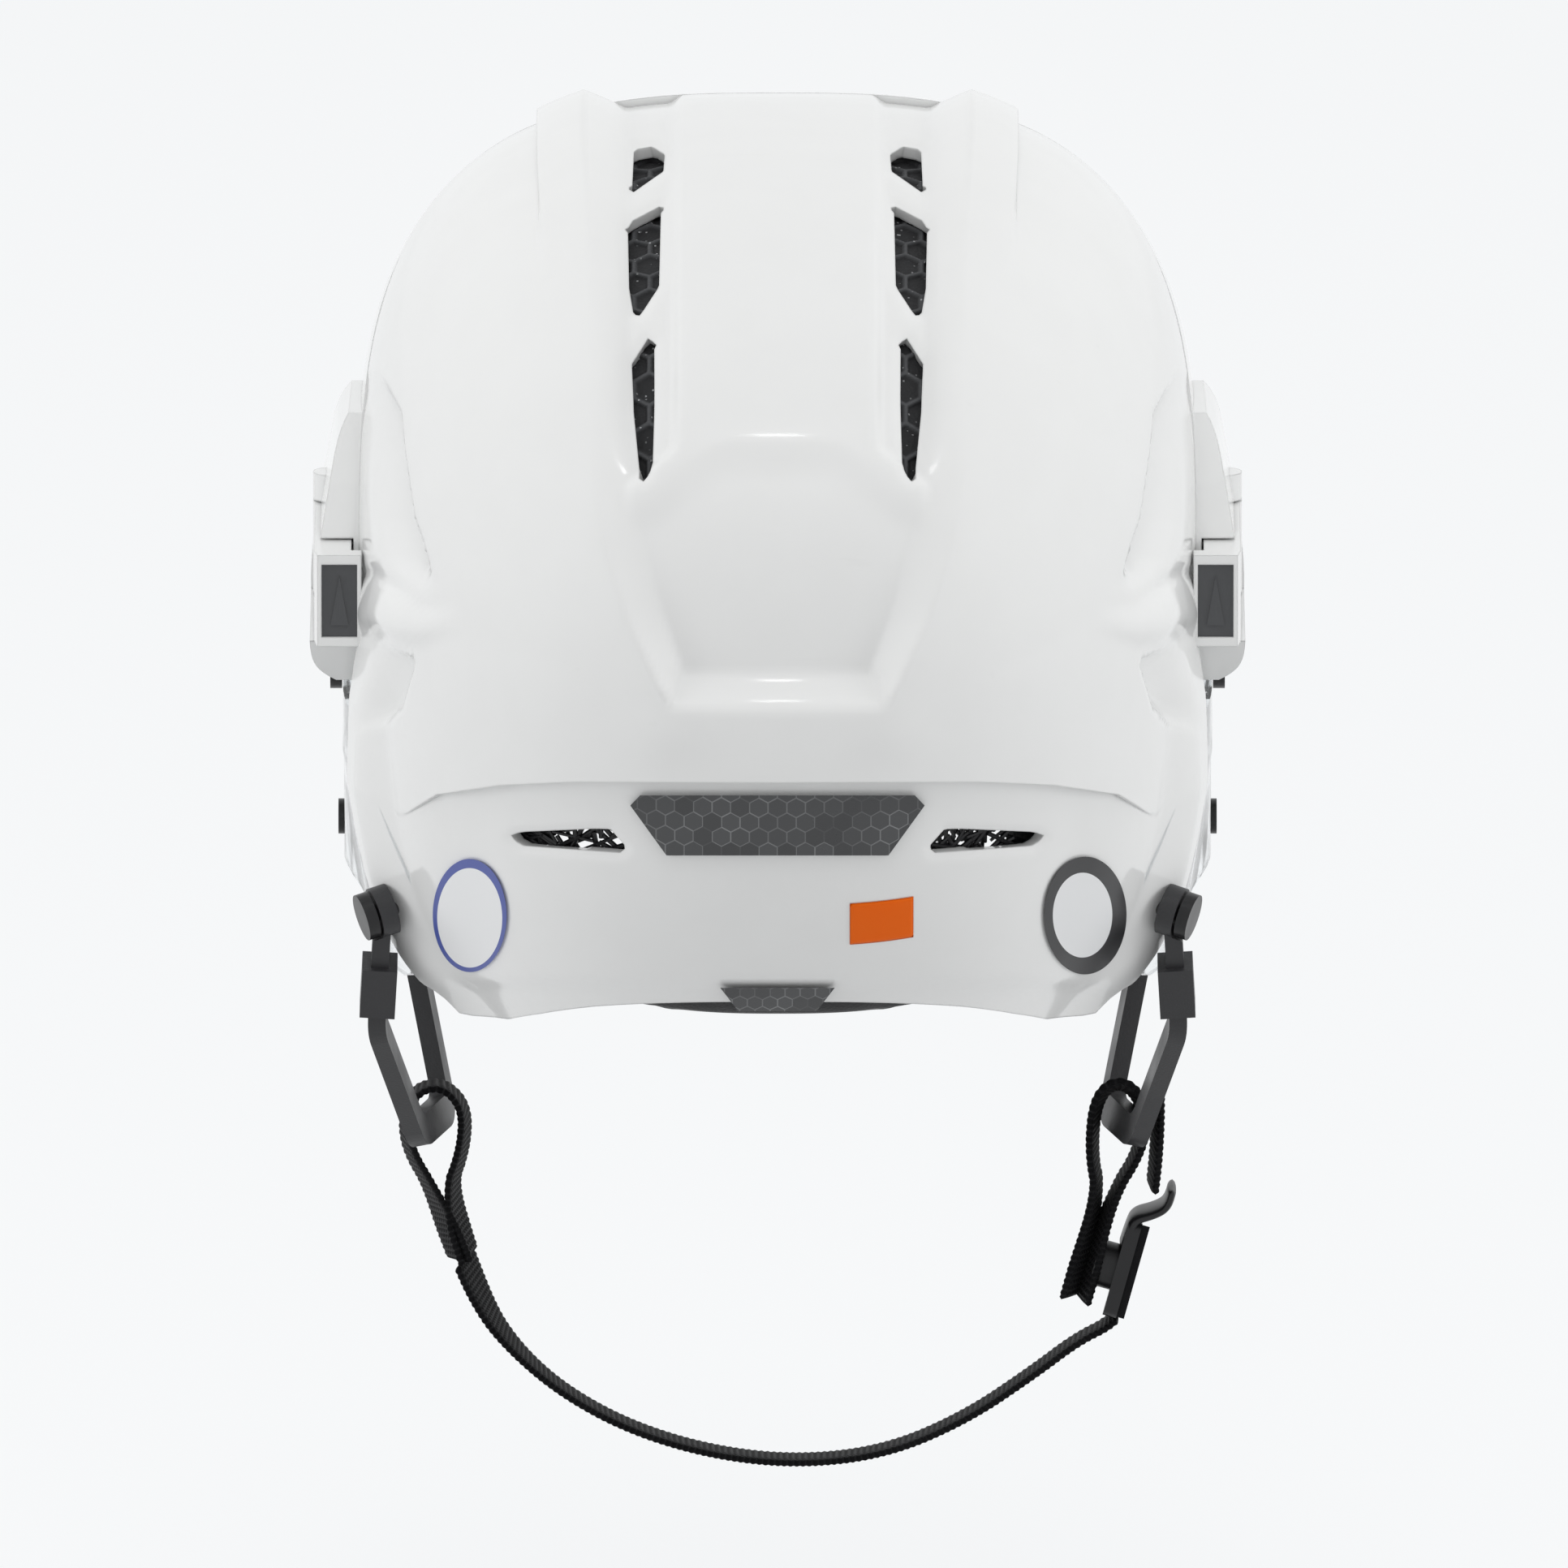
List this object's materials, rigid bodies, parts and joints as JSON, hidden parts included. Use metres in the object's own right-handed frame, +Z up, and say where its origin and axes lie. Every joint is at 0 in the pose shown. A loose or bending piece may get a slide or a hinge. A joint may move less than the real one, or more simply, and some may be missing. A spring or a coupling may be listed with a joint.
{
  "type": "ice hockey helmet",
  "caption": "Two-piece hard shell helmet with a sliding length adjustment, temple locking levers, clear ear guards, ear loops, foam liner and a snap chin strap.",
  "frame": {"origin": "middle of the head cavity between the wearer's ears, on the plane of symmetry", "axes": "+Y towards the face opening, +Z up through the crown, +X to the wearer's right"},
  "size_m": [0.2368, 0.2663, 0.3547],
  "materials": {
    "shell_white": "gloss",
    "trim_black": "satin",
    "trim_grey": "satin",
    "badge_dark": "gloss",
    "clear_guard": "clear",
    "foam_black": "matte",
    "label_white": "satin",
    "screw_black": "satin",
    "strap_black": "woven",
    "snap_metal": "gloss"
  },
  "bodies": {
    "rear": {"rear_shell": "shell_white", "badge_plate": "badge_dark", "size_plate": "trim_grey", "label_oval": "label_white", "label_round": "label_white", "rear_liner_left": "foam_black", "rear_liner_right": "foam_black", "crown_liner": "foam_black", "occipital_pad": "foam_black", "nape_lattice_left": "trim_black", "nape_lattice_right": "trim_black", "ear_guard_left": "clear_guard", "ear_guard_right": "clear_guard", "ear_loop_left": "trim_grey", "ear_loop_right": "trim_grey", "ear_loop_clip_left": "trim_grey", "ear_loop_clip_right": "trim_grey", "rear_screw_left": "screw_black", "rear_screw_right": "screw_black", "rear_nut_left": "screw_black", "rear_nut_right": "screw_black", "loop_rivet_left": "screw_black", "loop_rivet_right": "screw_black", "lock_rack_left": "trim_grey", "lock_rack_right": "trim_grey", "strap_end_left": "strap_black", "strap_end_right": "strap_black", "snap_stud": "snap_metal", "chin_strap": "strap_black"},
    "front": {"front_shell": "shell_white", "front_liner_left": "foam_black", "front_liner_right": "foam_black", "front_crown_liner": "foam_black", "brow_pad": "foam_black", "front_screw_left": "screw_black", "front_screw_right": "screw_black", "lever_pin_left": "screw_black", "lever_pin_right": "screw_black"},
    "lever_left": {"lever_left": "shell_white", "lever_insert_left": "badge_dark"},
    "lever_right": {"lever_right": "shell_white", "lever_insert_right": "badge_dark"},
    "pad_left": {"lock_pad_left": "trim_grey"},
    "pad_right": {"lock_pad_right": "trim_grey"},
    "snap": {"snap_plate": "trim_black", "snap_hook": "trim_black", "strap_cover": "strap_black", "strap_tail": "strap_black"}
  },
  "joints": [
    {"name": "size_slide", "type": "slide", "parent": "rear", "child": "front", "axis": [0, 1, 0], "range_m": [0, 0.024]},
    {"name": "lever_left_hinge", "type": "hinge", "parent": "front", "child": "lever_left", "pos_m": [-0.1136, 0.028, 0.0346], "axis": [0, 0, -1], "range_deg": [0, 75]},
    {"name": "lever_right_hinge", "type": "hinge", "parent": "front", "child": "lever_right", "pos_m": [0.1136, 0.028, 0.0346], "axis": [0, 0, 1], "range_deg": [0, 75]},
    {"name": "pad_left_slide", "type": "slide", "parent": "front", "child": "pad_left", "axis": [-1, 0, 0], "range_m": [0, 0.002]},
    {"name": "pad_right_slide", "type": "slide", "parent": "front", "child": "pad_right", "axis": [1, 0, 0], "range_m": [0, 0.002]},
    {"name": "snap_pull", "type": "slide", "parent": "rear", "child": "snap", "axis": [0.9619, -0.071, -0.264], "range_m": [0, 0.006]}
  ],
  "couplings": [
    {"joint": "pad_left_slide", "follows": "lever_left_hinge", "m_per_rad": 0.0015},
    {"joint": "pad_right_slide", "follows": "lever_right_hinge", "m_per_rad": 0.0015}
  ]
}
